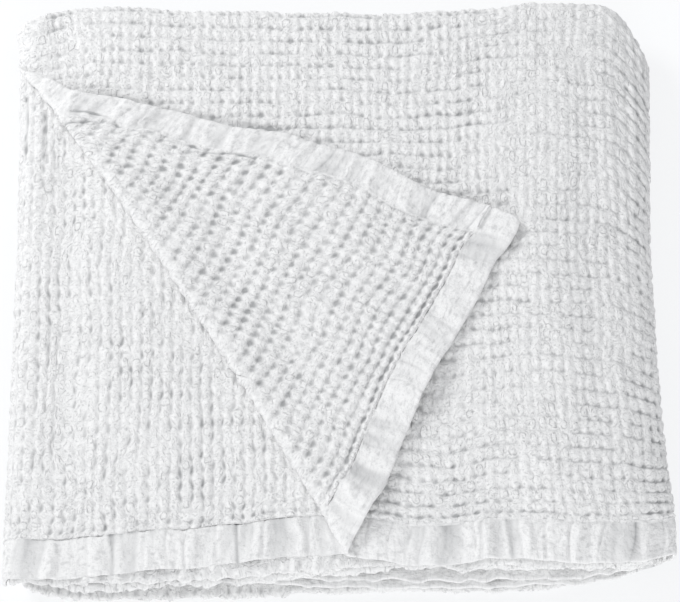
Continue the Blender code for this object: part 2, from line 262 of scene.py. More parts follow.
def noise(x, y, seed):
    """Smooth value noise from 0 to 1, with one lattice step a unit."""
    if seed not in NOISE_TABLES:
        NOISE_TABLES[seed] = np.random.RandomState(seed).rand(128, 128)
    table = NOISE_TABLES[seed]
    i = np.floor(x).astype(int)
    j = np.floor(y).astype(int)
    p = ramp(x - i, 0.0, 1.0)
    q = ramp(y - j, 0.0, 1.0)
    low = table[i % 128, j % 128] * (1 - p) + table[(i + 1) % 128, j % 128] * p
    high = table[i % 128, (j + 1) % 128] * (1 - p) + table[(i + 1) % 128, (j + 1) % 128] * p
    return low * (1 - q) + high * q


def waver(x, y, seed):
    """Noise from -1 to 1."""
    return 2.0 * noise(x, y, seed) - 1.0


def line_noise(t, seed):
    return noise(t, 0.0 * t, seed)


def line_waver(t, seed):
    return waver(t, 0.0 * t, seed)


# ---- from the flat cloth to the stack


def end_of(column, s):
    """Where an edge or fold ends along y, with the small waver that a soft edge has."""
    end = curve(s, END_PLACES, [row[column] for row in ENDS])
    small = 0.0009 * line_waver(s / 0.021, 11 + column) + 0.0005 * line_waver(s / 0.008, 21 + column)
    return end + small * (column != INNER_BACK)


def side_shift(panel, share, y, u):
    """Extra shift along the bundle, which the top ply has and the others have not."""
    weights = {
        "top hem": 1.0,
        "top": 1.0,
        "outer back fold": 1.0 - 0.5 * share,
        "bottom": np.maximum(0.5 - share, 0.0),
    }
    shift = along_table(y, TOP_INSET) * weights.get(panel, 0.0)
    return shift * np.clip(1.0 - u / SHEAR_REACH, 0.0, 1.0) ** SHEAR_POWER


def section(panel, share, s):
    """Place (y, level) of one row of the cloth in the four-ply bundle."""
    top, second, front, back, inner = [end_of(column, s) for column in range(2, 7)]
    front = front + TIGHT_RADIUS
    back = back - OUTER_BACK_RADIUS
    inner = inner - TIGHT_RADIUS
    out = np.sin(pi * share)
    high = np.cos(pi * share)
    rise = TIGHT_RADIUS * (1 - high)
    return {
        "top hem": (top + FRONT_HEM * share, TOP_LEVEL),
        "top": (between(top + FRONT_HEM, back, share), TOP_LEVEL),
        "outer back fold": (back + OUTER_BACK_RADIUS * out, OUTER_BACK_RADIUS * (1 + high)),
        "bottom": (between(back, front, share), 0.0),
        "front fold": (front - TIGHT_RADIUS * out, rise),
        "third": (between(front, inner, share), PITCH),
        "inner back fold": (inner + TIGHT_RADIUS * out, PITCH + rise),
        "second": (between(inner, second + FRONT_HEM, share), 2 * PITCH),
        "second hem": (second + FRONT_HEM * (1 - share), 2 * PITCH),
    }[panel]


def turn_bow(place):
    return TURN_BOW * np.sin(pi * np.clip(place / TURN_LENGTH, 0.0, 1.0))


def roll_radius(place):
    return ROLL_RADIUS * (ROLL_TIP + (1.0 - ROLL_TIP) * ramp(place, 0.0, ROLL_GROWTH))


def flap_lift(s, y):
    lift = np.zeros_like(s)
    for x0, y0, reach, height in FLAP_LIFTS:
        far = (s + LEFT_BEND_X - x0) ** 2 + (y - y0) ** 2
        lift += height * np.exp(-far / reach ** 2)
    return lift


def beyond_turn(s, y):
    """Distance along the turning line and distance beyond it, on the flat top ply."""
    right = s - TURN_START[0]
    back = y - TURN_START[1]
    place = right * TURN_ALONG[0] + back * TURN_ALONG[1]
    return place, right * TURN_AWAY[0] + back * TURN_AWAY[1] + turn_bow(place)


def turn_corner(s, y, level):
    """The part of the top ply beyond the turning line rolls over and lies back on the ply."""
    place, beyond = beyond_turn(s, y)
    turned = (level > 2.5 * PITCH) & (beyond > 0)
    radius = roll_radius(place)
    roll = pi * radius
    angle = np.clip(beyond / radius, 0.0, pi)
    laid = np.maximum(beyond - roll, 0.0)
    out = radius * np.sin(angle) * (beyond <= roll) - laid - turn_bow(place)
    new_s = TURN_START[0] + TURN_ALONG[0] * place + TURN_AWAY[0] * out
    new_y = TURN_START[1] + TURN_ALONG[1] * place + TURN_AWAY[1] * out
    settled = FLAP_REST + (2 * radius - FLAP_REST) * np.exp(-laid / FLAP_SETTLE)
    rise = np.where(beyond <= roll, radius * (1 - np.cos(angle)), settled)
    rise = rise + flap_lift(new_s, new_y) * ramp(laid, 0.0, FLAP_SETTLE)
    return np.where(turned, new_s, s), np.where(turned, new_y, y), np.where(turned, level + rise, level)


def fold_across(s, level):
    """Place (x, z) in the stack of a point of the bundle."""
    bend = np.maximum(-s, 0.0) / OVERHANG_RADIUS
    right = (s - UPPER_END) / WIDE_RADIUS
    left = (s - MIDDLE_END) / WIDE_RADIUS
    over = LEFT_BEND_RADIUS + level
    outer = TIGHT_RADIUS + level
    inner = WIDE_RADIUS - level
    runs = [s <= UPPER_END, s <= RIGHT_FOLD_END, s <= MIDDLE_END, s <= LEFT_FOLD_END, s > LEFT_FOLD_END]
    x = np.select(runs, [
        LEFT_BEND_X + np.maximum(s, 0.0) - over * np.sin(bend),
        RIGHT_FOLD_X + outer * np.sin(right),
        RIGHT_FOLD_X - (s - RIGHT_FOLD_END),
        LEFT_FOLD_X - inner * np.sin(left),
        LEFT_FOLD_X + s - LEFT_FOLD_END,
    ])
    z = np.select(runs, [
        UPPER_LEVEL - LEFT_BEND_RADIUS + over * np.cos(bend),
        UPPER_LEVEL - TIGHT_RADIUS + outer * np.cos(right),
        MIDDLE_LEVEL + TOP_LEVEL - level,
        WIDE_RADIUS + inner * np.cos(left),
        level,
    ])
    return x, z


def settle(x, y, z):
    """The stack's own unevenness. It grows with height, so the underside stays flat."""
    change = np.zeros_like(x)
    for x0, y0, reach_x, reach_y, height in SWELLS:
        change += height * np.exp(-((x - x0) / reach_x) ** 2 - ((y - y0) / reach_y) ** 2)
    for axis, start, end, drop in FALLS:
        change -= drop * ramp(x if axis == "x" else y, start, end)
    broad = 0.0008 * waver(x / 0.037 + 3.0, y / 0.029, 31)
    change += broad + 0.0005 * waver(x / 0.016, y / 0.019 + 7.0, 32)
    left = along_table(y, SIDES, 1) * ramp(x, 0.0, -0.2)
    right = along_table(y, SIDES, 2) * ramp(x, 0.0, 0.2)
    flutter = FLUTTER * waver(x / 0.021, z / 0.011, 33) + 0.6 * FLUTTER * waver(x / 0.009, z / 0.013, 34)
    flutter = flutter * ramp(z, 0.001, 0.01) * ramp(y, -0.17, -0.205)
    pucker = PUCKER * waver(x / 0.0062, z / 0.007, 35) * ramp(z, 0.046, 0.036)
    y = y + pucker * ramp(z, 0.001, 0.006) * ramp(y, -0.18, -0.205)
    distance, span_x, span_y = BACK_BULGE
    y = y + distance * ramp(x, *span_x) * ramp(y, *span_y)
    distance, span_x, span_y, span_z = FRONT_DRAW
    y = y + distance * ramp(x, *span_x) * ramp(y, *span_y) * ramp(z, *span_z)
    z = z * (1.0 + change / TOP_HEIGHT) + CLOTH_THICK / 2 + flutter
    return x + left + right + TO_MIDDLE_X, y + TO_MIDDLE_Y, z


# ---- relief

# panels of the cloth, in order along it, and their lengths
PANEL_LENGTHS = {
    "top hem": 0.025,
    "top": 0.381,
    "outer back fold": 0.0198,
    "bottom": 0.402,
    "front fold": 0.0066,
    "third": 0.398,
    "inner back fold": 0.0066,
    "second": 0.384,
    "second hem": 0.025,
}
CLOTH_LENGTH = sum(PANEL_LENGTHS.values())


def length_at(panel, share):
    """Distance along the cloth from the hem of the top ply."""
    index = list(PANEL_LENGTHS).index(panel)
    return sum(list(PANEL_LENGTHS.values())[:index]) + PANEL_LENGTHS[panel] * share


def squeezed(cells):
    """Cells counted from the top hem's stitching, as lengths: they are shorter close to both hems."""
    near = np.exp(-np.maximum(cells, 0.0) / CLOSER_REACH)
    far = np.exp(-np.maximum(CELLS_ALONG - cells, 0.0) / CLOSER_REACH)
    return cells - CLOSER * CLOSER_REACH * (1.0 - near) - CLOSER * CLOSER_REACH * far


CELL_COUNTS = np.linspace(-3.0, CELLS_ALONG + 3.0, 16201)
CELL_ALONG = (CLOTH_LENGTH - 2 * FRONT_HEM) / (squeezed(float(CELLS_ALONG)) - squeezed(0.0))
CELL_PLACES = FRONT_HEM + CELL_ALONG * (squeezed(CELL_COUNTS) - squeezed(0.0))


def cell_along(v):
    return np.interp(v, CELL_PLACES, CELL_COUNTS)


def place_along(cell):
    return np.interp(cell, CELL_COUNTS, CELL_PLACES)


# sway of the ribs; a hollow's depth, half width, and half lengths towards its own hem and away from it;
# least share of that depth; fullness of the ridges; slits; dashes; painted shade; widening at a hem
Look = namedtuple("Look", "sway depth wide towards away least full slits dashes shade wider")
LOOKS = {
    "face": Look(0.03, 0.00135, 0.225, 0.14, 0.26, 0.3, 0.45, 0.02, 0.62, 0.88, 0.5),
    "back": Look(0.03, 0.0018, 0.29, 0.26, 0.15, 0.5, 0.45, 0.1, 0.3, 1.06, 0.15),
    "ridged": Look(0.06, 0.00135, 0.155, 0.36, 0.3, 0.25, 0.45, 0.4, 0.34, 0.8, 0.15),
    "plain": Look(0.05, 0.0014, 0.24, 0.2, 0.3, 0.3, 0.25, 0.2, 0.2, 0.6, 0.15),
}
CHANCES = np.random.RandomState(51).rand(6, 256, 256)


def weave_shift(a, b, sway):
    """How far the waffle's lattice strays from a regular one, in cells across and along."""
    edge = np.minimum(np.minimum(a, CELLS_ACROSS - a), np.minimum(b, CELLS_ALONG - b))
    free = ramp(edge, 0.0, 2.0)
    across = 0.3 * waver(a / 4.4, b / 3.9, 41) + 0.07 * waver(a / 1.6, b / 1.2, 42)
    across = across + sway * np.sin(pi * b) * np.cos(pi * a)
    along = 0.28 * waver(a / 5.0, b / 4.3, 43) + 0.08 * waver(a / 1.5, b / 1.3, 44)
    return across * free, along * free


def waffle(a, b, look):
    """Height of the waffle and shade painted in it. Its hollows lie at whole numbers of a and b, with
    ridges between.
    """
    kind = LOOKS[look]
    near_hem = ramp(np.minimum(b, CELLS_ALONG - b), 4.0, 1.0)
    wide = kind.wide * (1.0 - 0.3 * ramp(a, *NARROWING)) * (1.0 + kind.wider * near_hem)
    i = np.round(a).astype(int)
    j = np.round(b).astype(int)
    chance = [table[i % 256, j % 256] for table in CHANCES[:5]]
    calm = ramp(a, *WEAKENING) * ramp(a, *reversed(RIGHT_SIDE))
    right = 1.0 + 0.5 * ramp(a, *RIGHT_SIDE)
    strength = (kind.least + 1.25 * (1.0 - kind.least) * chance[0]) * (1.0 - 0.25 * calm) * right
    # each hollow is a little off its place, slanted, and smaller or larger than the next
    p = a - i + 0.12 * (chance[1] - 0.5)
    q = b - j + 0.1 * (chance[2] - 0.5)
    p = p + 0.5 * (chance[3] - 0.5) * q
    size = 0.85 + 0.3 * chance[4]
    q = q / np.where(q < 0.0, kind.towards, kind.away)
    far = np.sqrt((p / wide) ** 2 + q * q) / size
    hollow = strength * np.exp(-0.69 * far ** 2.4)
    slit = kind.slits * bell((a - i) / 0.13) * ramp(noise(a / 1.9, b / 1.3, 53), 0.35, 0.85)
    # a dash is bent like a shallow cup, and joins two hollows of a row
    k = np.floor(a).astype(int)
    c = a - k - 0.5
    some = ramp(CHANCES[5][k % 256, j % 256] + noise(a / 2.7, b / 2.0, 54), 0.7, 1.3)
    cups = ramp(np.abs(c), 0.47, 0.34) * some
    dash = kind.dashes * right * bell((b - j - 0.9 * c * c + 0.04) / 0.1) * cups
    puff = np.abs(np.sin(pi * a) * np.sin(pi * b))
    # the hollows, slits and dashes are sunk by cut and painted darker by it, as shade
    cut = hollow + slit + dash
    return kind.depth * (kind.full * (puff - 0.4) + 0.3 - cut), kind.shade * np.clip(cut, 0.0, 1.5)


def puckers(t, spacing, seed):
    """Creases across a hem at distance t along it: narrow grooves from 0 to 1 and a broad waver."""
    broad = line_waver(t / (1.3 * spacing), seed) + 0.7 * line_waver(t / (0.5 * spacing), seed + 4)
    groove = (1 - np.abs(line_waver(t / spacing, seed + 1))) ** 6
    return groove, broad


# height, reach along the hem, rows across it, seed
HEM_CRUMPLE = ((0.00045, 0.0042, 4.0, 2), (0.0006, 0.0085, 2.2, 3), (0.00022, 0.0021, 8.0, 5))


def hem_relief(across, t, spacing, seed, streaked):
    """Height of a hem and shade painted in its creases. across is 0 at its edge and 1 at its stitching."""
    groove, broad = puckers(t + 0.002 * np.sin(3.0 * across + t / 0.02), spacing, seed)
    inner = 0.6 + 0.4 * across
    puff = 0.0004 * np.sin(pi * np.clip(across, 0, 1))
    crumple = 0.0
    for high, reach, rows, more in HEM_CRUMPLE:
        crumple = crumple + high * waver(t / reach, across * rows, seed + more)
    drift = across * 4.6 + 6.0 * line_noise(t / 0.05, seed + 7)
    crumple = crumple + streaked * 0.0005 * waver(t / 0.017, drift, seed + 6)
    # shade is painted in the grooves, on the low side of the broad waver and in the crumples' troughs
    shade = 0.55 * groove + 0.42 * np.clip(-broad, 0.0, 1.0) + 220.0 * np.clip(-crumple, 0.0, 0.001)
    return puff - 0.0016 * groove * inner + 0.002 * broad * inner + 1.3 * crumple, shade * inner


def stitches(distance, cells):
    """Depth of the stitching beside its line: a dash by each cell, and a fainter line further in."""
    each = np.abs(np.sin(pi * cells)) ** 1.5 * ramp(line_noise(cells / 1.3, 55), 0.15, 0.8)
    second = np.abs(np.cos(pi * cells + 0.6)) * ramp(line_noise(cells / 3.1, 56), 0.25, 0.75)
    first = bell(distance / STITCH_HALF) * (0.06 + 0.94 * each)
    return first + 0.75 * bell((distance - SECOND_STITCH) / STITCH_HALF) * second


def crumpled(u, v, hem, height, hollow):
    """Relief of the lower plies, with ripples in their hems and puckers where they fold at the front."""
    narrow, ripple = puckers(u, 0.004, 66)
    height = height + (0.0005 * ripple - 0.0007 * narrow) * hem
    # painted shade: less of the weave's on the hems, and shade painted in the grooves of their ripples and
    # of the puckers at the fold
    hollow = hollow * (1.0 - 0.6 * hem) + (0.25 * narrow + 0.1 * np.clip(-ripple, 0.0, 1.0)) * hem
    at_fold = ramp(np.abs(v - length_at("front fold", 0.5)), 0.034, 0.014)
    groove, broad = puckers(u, 0.0072, 64)
    height = height + (0.0012 * broad - 0.0012 * groove) * at_fold
    shade = 0.35 * groove + 0.2 * np.clip(-broad, 0.0, 1.0)
    return height, np.maximum(hollow, shade * at_fold)


def relief(u, v, look):
    """Height above the cloth's mean surface, cells across, cells along, painted shade and share of hem."""
    a = (u - SIDE_HEM) / CELL_ACROSS
    b = cell_along(v)
    end = np.minimum(v, CLOTH_LENGTH - v)
    # the second ply looks woven right up to its left edge, as if its side hems were far away
    side = np.full_like(u, 9.0) if look == "ridged" else np.minimum(u, CLOTH_WIDTH - u)
    front_hem = end < FRONT_HEM
    side_hem = (side < SIDE_HEM) & ~front_hem
    by_end = end - FRONT_HEM < side - SIDE_HEM
    inside = np.minimum(end - FRONT_HEM, side - SIDE_HEM)
    weave, weave_shade = waffle(a, b, look)
    near = ramp(inside, 0.02, 0.0)
    shown = ramp(inside, -0.0002, 0.0016)
    strength = 0.75 + 0.45 * noise(a / 5.3, b / 4.1, 45) + 0.3 * near
    crinkles = CRINKLE * (waver(a / 0.33, b / 0.31, 46) + 0.7 * waver(a / 0.7, b / 0.4, 47))
    height = weave * strength + crinkles
    hollow = weave_shade * strength
    # the hems, which take up the seam's own waver at their stitching
    front, front_shade = hem_relief(end / FRONT_HEM, u, FRONT_PUCKERS, 61, 0.0)
    beside, side_shade = hem_relief(side / SIDE_HEM, v, SIDE_PUCKERS, 71, 1.0)
    groove, broad = puckers(np.where(by_end, u, v), np.where(by_end, FRONT_PUCKERS, SIDE_PUCKERS), 61)
    seam_height = 0.0008 * broad - 0.0005 * groove
    front = between(front, seam_height, ramp(end / FRONT_HEM, 0.72, 1.0))
    beside = between(beside + 0.22 * weave, seam_height, ramp(side / SIDE_HEM, 0.65, 1.0))
    side_shade = side_shade + 0.22 * weave_shade
    hem = (front_hem | side_hem).astype(float)
    stitch = stitches(inside, np.where(by_end, a, v / CELL_ACROSS))
    if look == "face":
        woven = ramp(v, *HEM_TO_WEAVE)
        soft = woven * side_hem
        beside = between(beside, 0.6 * weave, soft)
        side_shade = between(side_shade, 0.55 * weave_shade, soft)
        hem = hem * (1.0 - soft)
        stitch = stitch * (1.0 - woven)
        # a groove where the side hem turns woven, with shade painted in it by each cell
        seam = bell((inside - 0.0016) / 0.0016) * woven
        hollow = hollow + 0.7 * seam * np.abs(np.sin(pi * b)) * shown
    height = np.where(front_hem, front, np.where(side_hem, beside, height * shown))
    hollow = np.where(front_hem, front_shade, np.where(side_hem, side_shade, hollow * shown))
    height = height - 0.0005 * stitch + seam_height * near * (1 - hem)
    if look == "plain":
        height, hollow = crumpled(u, v, hem, height, hollow)
    # the stitching is painted darker as well, as shade in its groove
    return height, a, b, np.clip(hollow + 0.42 * stitch, 0.0, 1.5), hem


# ---- the main creases

# for each ply: depth, half width, shade painted along it, and the places (x, y) it runs through
CREASES = {
    "top": (
        (0.0022, 0.0036, 1.1, ((-0.21, 0.152), (-0.194, 0.145), (-0.182, 0.14), (-0.159, 0.139),
         (-0.143, 0.132))),
        (0.002, 0.0028, 0.9, ((-0.129, 0.131), (-0.103, 0.121), (-0.087, 0.118), (-0.051, 0.113),
         (-0.031, 0.104))),
        (0.002, 0.0026, 0.55, ((-0.007, 0.097), (0.026, 0.081), (0.045, 0.071), (0.073, 0.061),
         (0.097, 0.055))),
        (0.0012, 0.0022, 0.35, ((0.095, 0.055), (0.107, 0.059), (0.129, 0.065), (0.155, 0.068))),
        (0.0025, 0.005, 0.15, ((0.148, 0.178), (0.187, 0.173), (0.215, 0.161))),
        (0.0015, 0.005, 0.1, ((0.067, 0.133), (0.116, 0.139), (0.158, 0.142), (0.2, 0.133))),
        (0.0012, 0.002, 0.35, ((0.138, 0.042), (0.168, 0.041), (0.199, 0.037))),
        (0.001, 0.0025, 0.25, ((0.126, -0.021), (0.153, -0.023), (0.18, -0.024))),
        (0.002, 0.006, 0.12, ((0.079, -0.167), (0.102, -0.165), (0.128, -0.169))),
        (0.0015, 0.004, 0.2, ((0.176, 0.163), (0.2, 0.153), (0.221, 0.139))),
    ),
    "flap": (
        (0.0006, 0.013, 0.16, ((-0.128, 0.084), (-0.092, 0.053), (-0.061, -0.007), (-0.016, -0.087))),
        (0.0014, 0.001, 1.0, ((-0.184, 0.124), (-0.174, 0.123), (-0.158, 0.118), (-0.151, 0.112))),
        (0.0014, 0.001, 1.0, ((-0.19, 0.115), (-0.17, 0.115), (-0.151, 0.112))),
        (0.0014, 0.001, 1.0, ((-0.121, 0.101), (-0.102, 0.097), (-0.085, 0.09), (-0.069, 0.09),
         (-0.055, 0.086))),
        (0.0012, 0.0014, 0.6, ((-0.069, 0.059), (-0.063, 0.07), (-0.058, 0.081))),
    ),
    "second": (
        (0.0018, 0.0012, 1.1, ((-0.216, 0.142), (-0.215, 0.12), (-0.215, 0.093))),
        (0.0018, 0.0012, 1.0, ((-0.202, 0.13), (-0.202, 0.112), (-0.2, 0.089))),
        (0.0016, 0.0015, 0.6, ((-0.191, 0.111), (-0.192, 0.085), (-0.187, 0.054))),
        (0.002, 0.011, 0.06, ((-0.186, 0.074), (-0.179, -0.039), (-0.176, -0.147))),
        (0.0018, 0.0035, 0.2, ((-0.122, -0.14), (-0.123, -0.157), (-0.12, -0.176))),
    ),
}
# for each ply: place x across its front hem, depth, half width, painted shade
HEM_CREASES = {
    "top": (
        (0.056, 0.0012, 0.004, 0.15), (0.083, 0.002, 0.005, 0.25), (0.097, 0.002, 0.0016, 0.45),
        (0.108, 0.0022, 0.004, 0.35), (0.117, 0.0015, 0.0016, 0.25), (0.139, 0.0014, 0.0014, 0.3),
        (0.154, 0.0014, 0.0014, 0.25), (0.168, 0.0016, 0.003, 0.2), (0.184, 0.0016, 0.0018, 0.3),
        (0.2, 0.0018, 0.003, 0.25), (0.212, 0.0024, 0.006, 0.35),
    ),
    "second": (
        (-0.18, 0.0016, 0.003, 0.2), (-0.163, 0.0014, 0.0018, 0.25), (-0.146, 0.002, 0.0022, 0.4),
        (-0.131, 0.0022, 0.003, 0.35), (-0.125, 0.0016, 0.0014, 0.25), (-0.099, 0.0016, 0.0018, 0.25),
        (-0.078, 0.0014, 0.0016, 0.25), (-0.064, 0.002, 0.0013, 0.55), (-0.047, 0.0014, 0.0016, 0.2),
        (-0.017, 0.0016, 0.002, 0.3),
    ),
}
# how much stronger the painted shade of each ply's hem creases is
HEM_CREASE_SHADE = {"top": 1.3, "second": 1.7}


def limited(height):
    """Heights whose troughs stay clear of the ply beneath."""
    trough = TROUGH_LIMIT * (np.exp(np.minimum(height, 0.0) / TROUGH_LIMIT) - 1.0)
    return np.where(height < 0.0, trough, height)


def near_line(x, y, points):
    """Distance to a line through some points on the plan, and distance along it."""
    best = np.full_like(x, 9.0)
    along = np.zeros_like(x)
    run = 0.0
    for (x0, y0), (x1, y1) in zip(points, points[1:]):
        right, back = x1 - x0, y1 - y0
        length = hypot(right, back)
        share = np.clip(((x - x0) * right + (y - y0) * back) / length ** 2, 0.0, 1.0)
        far = np.hypot(x - x0 - share * right, y - y0 - share * back)
        along = np.where(far < best, run + share * length, along)
        best = np.minimum(far, best)
        run += length
    return best, along


def creases(x, y, hem, on):
    """Depth and painted shade of the main creases at places of the plan; on holds where each ply shows."""
    depth = np.zeros_like(x)
    shade = np.zeros_like(x)
    for ply, rows in CREASES.items():
        for deep, wide, dark, points in rows if ply in on else ():
            far, along = near_line(x, y, points)
            share = bell(far / wide) * on[ply] * (0.5 + noise(along / 0.008, y / 0.02, 81))
            depth += deep * share
            shade = np.maximum(shade, dark * share)
    for ply, rows in HEM_CREASES.items():
        for place, deep, wide, dark in rows if ply in on else ():
            slant = 0.05 * (y + 0.19) * sin(900.0 * place)
            share = bell((x - place - slant) / wide) * hem * (y < -0.16) * on[ply]
            depth += deep * share
            shade = np.maximum(shade, HEM_CREASE_SHADE[ply] * dark * share)
    return depth, shade


# ---- meshes

RIM_ANGLES = [pi * k / 5 for k in range(1, 5)]
UNDER_REACH = (0.0, 0.003, 0.006, 0.01)
FLOOR_GAP = 0.0002


def spaced(start, end, step):
    count = max(1, int(round((end - start) / step)))
    return [start + (end - start) * k / count for k in range(count + 1)]


def rows_of(panel, step, start=0.0, end=1.0):
    """Rows of one panel from one share to another, about step metres apart."""
    return [(panel, share) for share in spaced(start, end, step / PANEL_LENGTHS[panel])]


def woven_rows(panel, steps, start=0.0, end=1.0):
    """Rows of one panel from one share to another, steps to each waffle cell."""
    first = cell_along(length_at(panel, start)) * steps
    last = cell_along(length_at(panel, end)) * steps
    cells = np.arange(np.ceil(first + 0.4), np.floor(last - 0.4) + 1) / steps
    shares = (place_along(cells) - length_at(panel, 0.0)) / PANEL_LENGTHS[panel]
    return [(panel, share) for share in (start, *shares, end)]


def joined(*parts):
    """Rows of several parts in one list, without the rows that would come twice."""
    rows = list(parts[0])
    for part in parts[1:]:
        rows += part[1:] if part[0][0] == rows[-1][0] and abs(part[0][1] - rows[-1][1]) < 1e-9 else part
    return rows


def round_corner(u, v):
    """Places near the cloth's corner, drawn in so that the corner is blunt."""
    beside = np.maximum(CORNER_ROUND - u, 0.0)
    before = max(CORNER_ROUND - v, 0.0)
    far = np.maximum(np.hypot(beside, before), 1e-9)
    share = 1.0 - CORNER_BLUNT * (1.0 - np.maximum(beside, before) / far)
    return u + beside * (1.0 - share), v + before * (1.0 - share)


def middle_surface(columns, rows, sway):
    """The cloth's middle surface on a grid, and (u, v, distance beyond the turning line) at each point."""
    u = np.array(columns)
    a = (u - SIDE_HEM) / CELL_ACROSS
    grid = []
    flat = []
    for panel, share in rows:
        v = length_at(panel, share)
        across, along = weave_shift(a, cell_along(v), sway)
        shifted = u + CELL_ACROSS * across
        if panel in ("top", "second"):
            length = PANEL_LENGTHS[panel]
            fade = ramp(min(share, 1.0 - share) * length, 0.004, 0.03)
            share = share + along * fade * CELL_ALONG / length
        if panel == "top hem":
            inner, further = round_corner(u, v)
            shifted = shifted + inner - u
            share = further / FRONT_HEM
        s = shifted - OVERHANG
        y, level = section(panel, share, s)
        s = s + side_shift(panel, share, y, shifted)
        on_top = panel in ("top", "top hem")
        if on_top:
            s = s + along_table(v, EDGE_BOWS) * ramp(u, *SIDE_BOW_FADE)
        y, level = section(panel, share, s)
        if on_top:
            y = y + along_table(u, FRONT_BOWS) * ramp(v, *FRONT_BOW_FADE)
        flat.append(np.stack([u, np.full_like(u, v), beyond_turn(s, y)[1]], axis=1))
        s, y, level = turn_corner(s, y, np.full_like(s, level))
        x, z = fold_across(s, level)
        grid.append(np.stack(settle(x, y, z), axis=1))
    return np.array(grid), np.array(flat)


def unit(vectors):
    return vectors / np.maximum(np.linalg.norm(vectors, axis=-1, keepdims=True), 1e-12)


def edge_order(places, at_start, at_end):
    """Grid lines and rims in order: (line, angle round the rim), from one underside to the other."""
    def inner(distances):
        return [(int(np.argmin(np.abs(distances - reach))), pi) for reach in UNDER_REACH]

    order = [(k, 0.0) for k in range(len(places))]
    if at_start:
        order = inner(places - places[0])[::-1] + [(0, -a) for a in reversed(RIM_ANGLES)] + order
    if at_end:
        order += [(len(places) - 1, a) for a in RIM_ANGLES] + inner(places[-1] - places)
    return order


def turned_relief(u, v, beyond, height, hollow):
    """Share turned over, height and painted shade of the top ply, with its reverse on the flap and a calm
    roll.
    """
    reach = np.clip(np.minimum(0.7 * v, 0.45 * u), 0.0025, 0.018)
    turned = ramp(beyond / reach, -1.0, -0.22)
    reverse, _, _, back_hollow_shade, _ = relief(u, v, "back")
    height = np.where(turned > 0.5, reverse, height)
    hollow = np.where(turned > 0.5, back_hollow_shade, hollow)
    # along the roll the weave is shallower and less shade is painted in it, so the roll shows bright
    rolled = ramp(beyond, 0.0, 0.004) * ramp(beyond, 0.015, 0.0105)
    return turned, height * (1.0 - 0.35 * rolled), hollow * (1.0 - 0.75 * rolled)


def cloth_piece(name, columns, rows, look):
    """One stretch of the cloth as a mesh, with its weave and hems in relief and rims on its free edges."""
    flip = look == "ridged"
    grid, flat = middle_surface(columns, rows, LOOKS[look].sway)
    across = unit(np.gradient(grid, axis=1))
    along = unit(np.gradient(grid, axis=0))
    normal = unit(np.cross(across, along))
    u, v, beyond = flat[..., 0], flat[..., 1], flat[..., 2]
    height, a, b, hollow, hem = relief(u, v, look)
    side = np.full_like(u, -1.0 if flip else 1.0)
    on = {}
    if look == "face":
        turned, height, hollow = turned_relief(u, v, beyond, height, hollow)
        side = 1.0 - 2.0 * turned
        on = {"top": 1.0 * (turned < 0.5), "flap": 1.0 * (turned > 0.5)}
    elif look == "ridged":
        # pressed flat where the top ply covers it
        covered = ramp(beyond, 0.004, -0.002)
        pressed = 0.3 * np.minimum(height, 0.0) - 0.0008 - 0.0014 * hem
        height = height * (1.0 - covered) + covered * pressed
        on = {"second": 1.0 - covered, "top": covered}
    depth, shade = creases(grid[..., 0], grid[..., 1], hem, on)
    height = limited(height - depth)
    # the creases' painted shade, darker still where it falls on the painted shade of the hollows
    hollow = np.maximum(hollow, 0.65 * shade) + 1.5 * hollow * shade
    half = np.where(hem > 0.5, HEM_HALF, CLOTH_HALF)
    row_order = edge_order(v[:, 0], rows[0] == ("top hem", 0.0), rows[-1] == ("second hem", 1.0))
    column_order = edge_order(u[0], columns[0] == 0.0, columns[-1] == CLOTH_WIDTH)
    (row_lines, row_angle), (column_lines, column_angle) = zip(*row_order), zip(*column_order)
    chosen = np.ix_(row_lines, column_lines)
    layers = (grid, normal, across, along, u, v, a, b, side, half, height, hem, hollow)
    grid, normal, across, along, u, v, a, b, side, half, height, hem, hollow = [x[chosen] for x in layers]
    row_angle, column_angle = np.meshgrid(row_angle, column_angle, indexing="ij")
    turn = np.maximum(np.abs(row_angle), np.abs(column_angle))
    round_edge = half * np.abs(side)
    points = grid + normal * (side * (half * np.cos(turn) + height))[..., None]
    points = points + along * (np.sin(row_angle) * round_edge)[..., None]
    points = points + across * (np.sin(column_angle) * round_edge)[..., None]
    points[..., 2] = np.maximum(points[..., 2], FLOOR_GAP)
    # the painted shade goes to the material as an attribute, where it darkens the cotton's colour
    return make_mesh(name, points, {"Cloth": (u, v), "Weave": (a, b)}, {"hem": hem, "hollow": hollow}, flip)


def add_object(name, data):
    thing = bpy.data.objects.new(name, data)
    bpy.context.scene.collection.objects.link(thing)
    return thing


def make_mesh(name, points, places, layers, flip):
    """A grid of points as an object, with places as its UV layers and layers as its attributes."""
    count_v, count_u = points.shape[:2]
    data = bpy.data.meshes.new(name)
    total = count_v * count_u
    k = np.arange(total).reshape(count_v, count_u)
    quads = np.stack([k[:-1, :-1], k[:-1, 1:], k[1:, 1:], k[1:, :-1]], axis=-1).reshape(-1, 4)
    if flip:
        quads = quads[:, ::-1]
    data.vertices.add(total)
    data.vertices.foreach_set("co", points.ravel().astype(np.float32))
    data.loops.add(quads.size)
    data.loops.foreach_set("vertex_index", quads.ravel().astype(np.int32))
    data.polygons.add(len(quads))
    data.polygons.foreach_set("loop_start", np.arange(0, quads.size, 4, dtype=np.int32))
    data.update(calc_edges=True)
    for label, (x, y) in places.items():
        layer = data.uv_layers.new(name=label)
        pairs = np.stack([x.ravel(), y.ravel()], axis=1)[quads.ravel()]
        layer.data.foreach_set("uv", pairs.ravel().astype(np.float32))
    for label, values in layers.items():
        layer = data.attributes.new(label, "FLOAT", "POINT")
        layer.data.foreach_set("value", values.ravel().astype(np.float32))
    data.shade_smooth()
    data.validate()
    return add_object(name, data)


# ---- material

